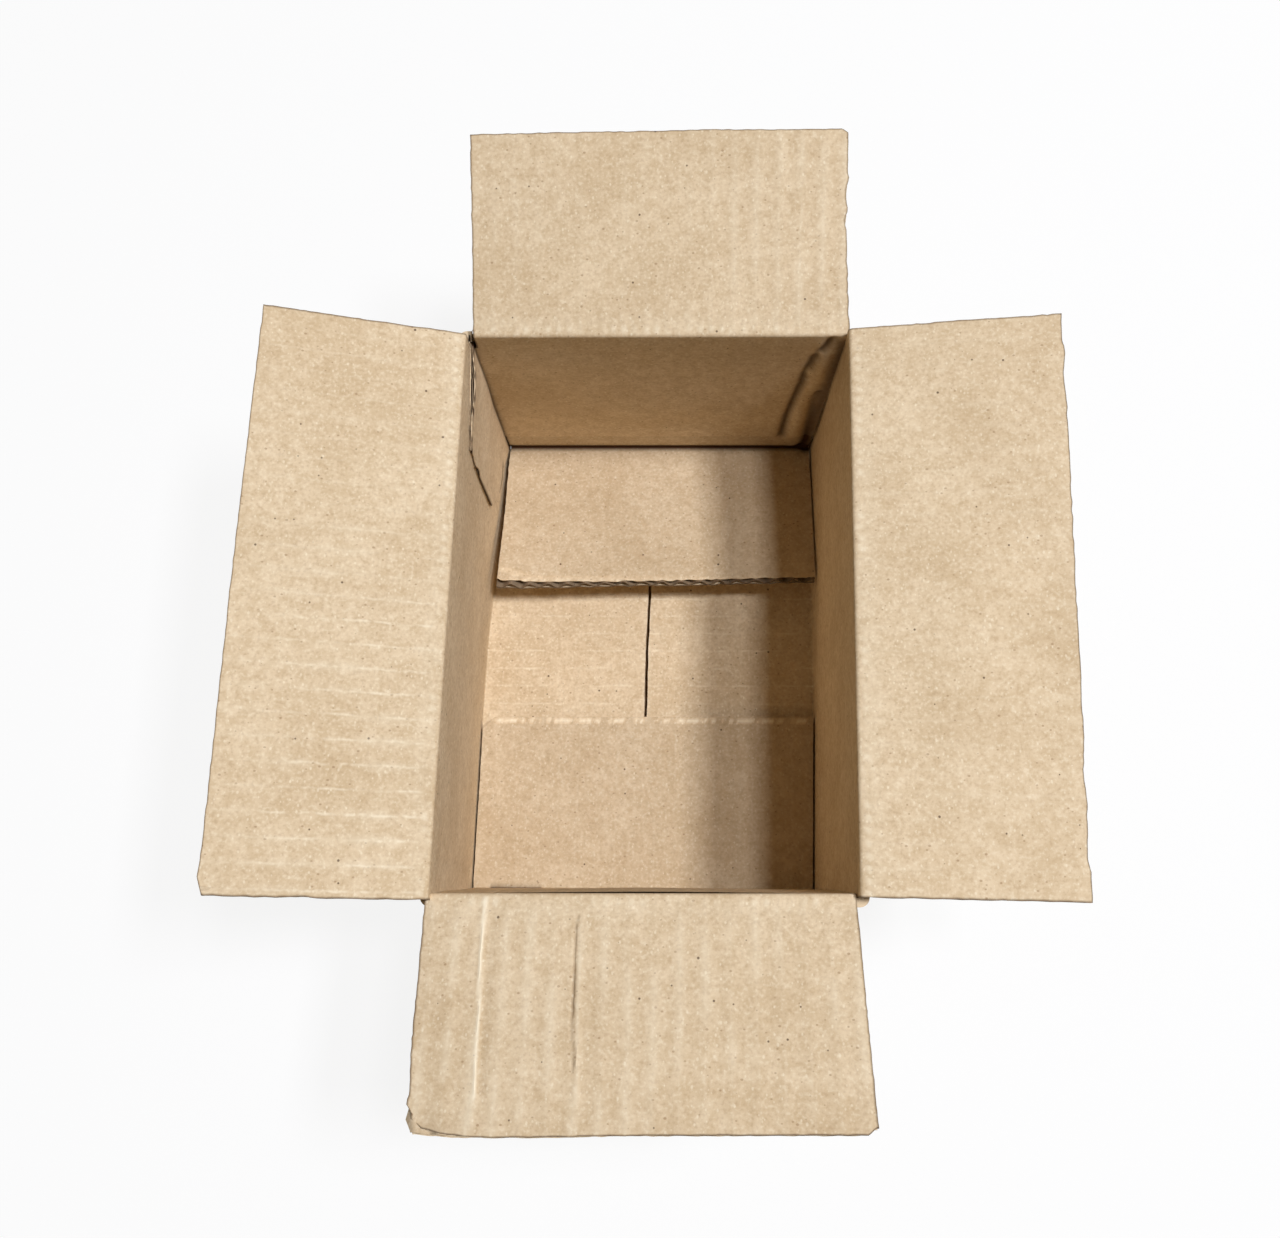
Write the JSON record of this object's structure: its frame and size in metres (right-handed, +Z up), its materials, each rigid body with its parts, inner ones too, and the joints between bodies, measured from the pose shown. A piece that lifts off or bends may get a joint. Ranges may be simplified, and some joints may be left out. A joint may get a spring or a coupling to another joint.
{
  "type": "corrugated cardboard box",
  "caption": "Small regular slotted corrugated box standing open, bottom closed and taped, with lid flaps hinged on its rim and a glued side joint.",
  "frame": {"origin": "centre of the box's footprint, on the underside of the tape it rests on", "axes": "+Z up out of the open top, +Y along the box towards the short wall that carries the glue tab, +X across the box"},
  "size_m": [0.2608, 0.3153, 0.1385],
  "materials": {
    "kraft_board": "matte recycled kraft paper",
    "packing_tape": "smooth buff film tape"
  },
  "bodies": {
    "box": {"box_body": "kraft_board", "bottom_tape": "packing_tape"},
    "far_flap": {"far_lid_flap": "kraft_board"},
    "near_flap": {"near_lid_flap": "kraft_board"},
    "left_flap": {"left_lid_flap": "kraft_board"},
    "right_flap": {"right_lid_flap": "kraft_board"}
  },
  "joints": [
    {"name": "far_flap_hinge", "type": "hinge", "parent": "box", "child": "far_flap", "pos_m": [0, 0.095, 0.1104], "axis": [1, 0, 0], "range_deg": [-106, 161]},
    {"name": "near_flap_hinge", "type": "hinge", "parent": "box", "child": "near_flap", "pos_m": [0, -0.095, 0.1104], "axis": [-1, 0, 0], "range_deg": [-98, 169]},
    {"name": "left_flap_hinge", "type": "hinge", "parent": "box", "child": "left_flap", "pos_m": [-0.0675, 0, 0.1146], "axis": [0, 1, 0], "range_deg": [-105, 162]},
    {"name": "right_flap_hinge", "type": "hinge", "parent": "box", "child": "right_flap", "pos_m": [0.0675, 0, 0.1146], "axis": [0, -1, 0], "range_deg": [-84, 170]}
  ]
}
